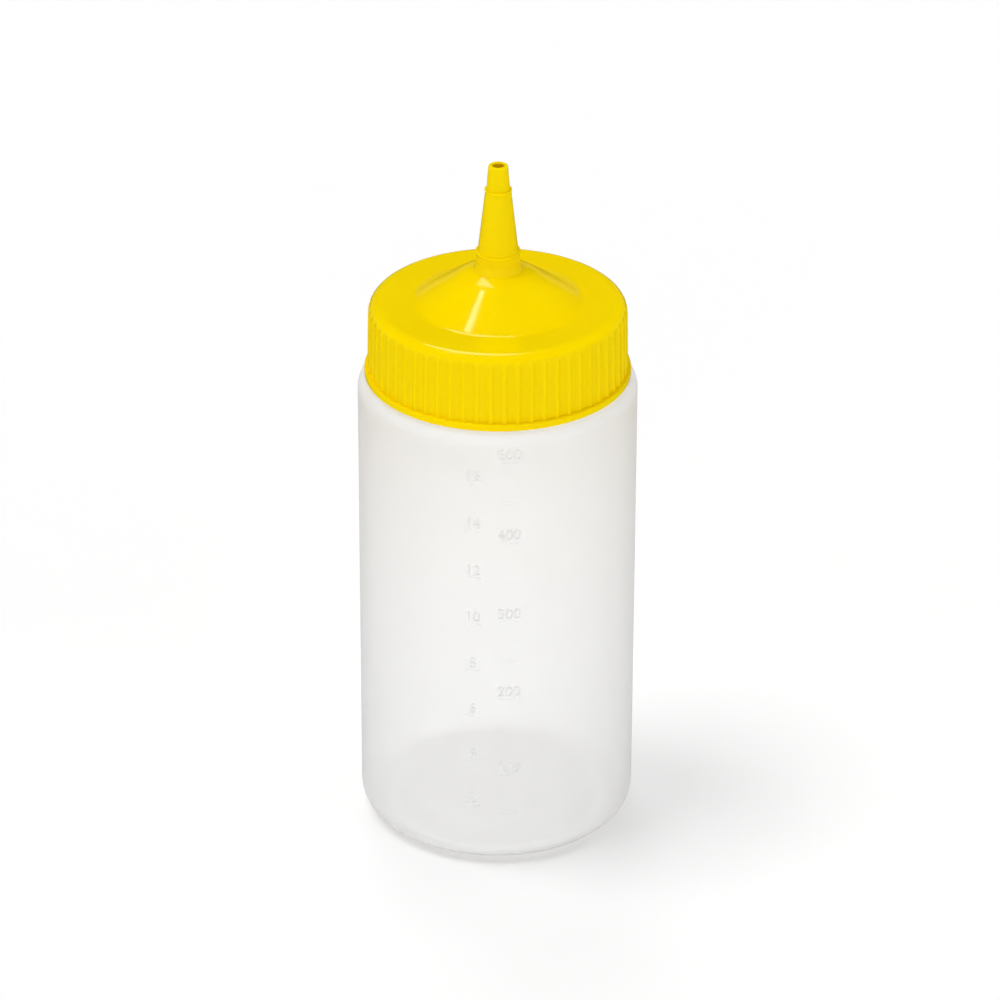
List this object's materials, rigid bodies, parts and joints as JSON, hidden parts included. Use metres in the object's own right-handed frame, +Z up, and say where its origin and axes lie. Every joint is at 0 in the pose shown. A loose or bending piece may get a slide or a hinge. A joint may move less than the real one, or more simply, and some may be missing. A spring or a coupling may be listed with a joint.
{
  "type": "condiment squeeze bottle",
  "caption": "Empty wide-mouth squeeze bottle in milky translucent plastic with raised graduations, and a yellow ribbed screw cap with a low cone and a stepped dispensing nozzle.",
  "frame": {"origin": "centre of the circle that the bottle stands on, at the level of the foot ring", "axes": "+Z up along the bottle's axis to the nozzle's tip; -Y towards the front, where the graduations are; +X to the right seen from the front"},
  "size_m": [0.075, 0.0752, 0.1928],
  "materials": {
    "natural_polyethylene": "milky translucent, smooth, blow-moulded",
    "yellow_polyethylene": "semi-gloss, injection-moulded"
  },
  "bodies": {
    "root": {"bottle": "natural_polyethylene", "cap": "yellow_polyethylene"}
  },
  "joints": []
}
